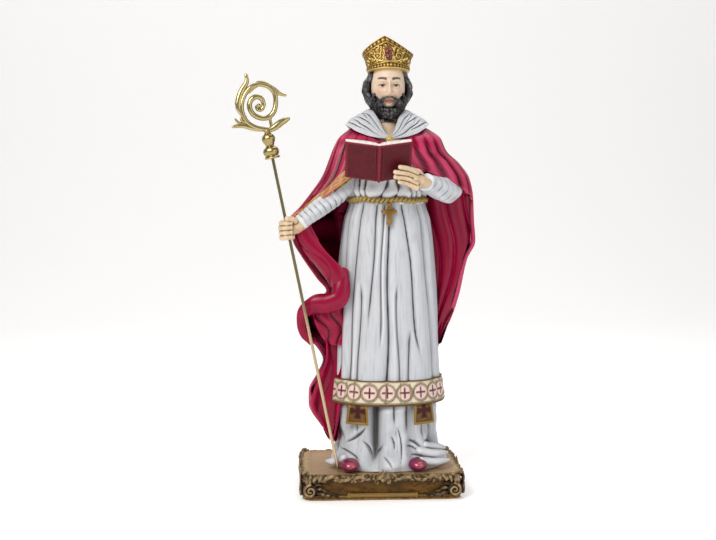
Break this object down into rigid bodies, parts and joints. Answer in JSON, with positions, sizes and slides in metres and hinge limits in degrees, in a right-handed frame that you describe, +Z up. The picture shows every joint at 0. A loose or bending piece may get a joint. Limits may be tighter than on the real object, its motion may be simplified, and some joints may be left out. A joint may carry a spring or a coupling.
{
  "type": "bishop saint statuette",
  "caption": "Painted statuette of a standing bishop saint in mitre and long cloak, reading an open book and holding a thin crozier, on a carved rectangular plinth.",
  "frame": {"origin": "middle of the plinth's underside, on the surface the statuette stands on", "axes": "+Z up, the figure faces -Y, +X to a viewer's right; the crozier is on the -X side"},
  "size_m": [0.1602, 0.0868, 0.3012],
  "materials": {
    "bronzed_resin": "cast resin painted antique bronze with dark wash",
    "painted_resin": "cast resin hand painted in crimson, ivory and gold with dark wash in the folds",
    "crozier_brass": "polished, slightly aged"
  },
  "bodies": {
    "root": {"plinth": "bronzed_resin", "figure": "painted_resin", "crozier_rod": "crozier_brass", "crozier_head": "crozier_brass"}
  },
  "joints": []
}
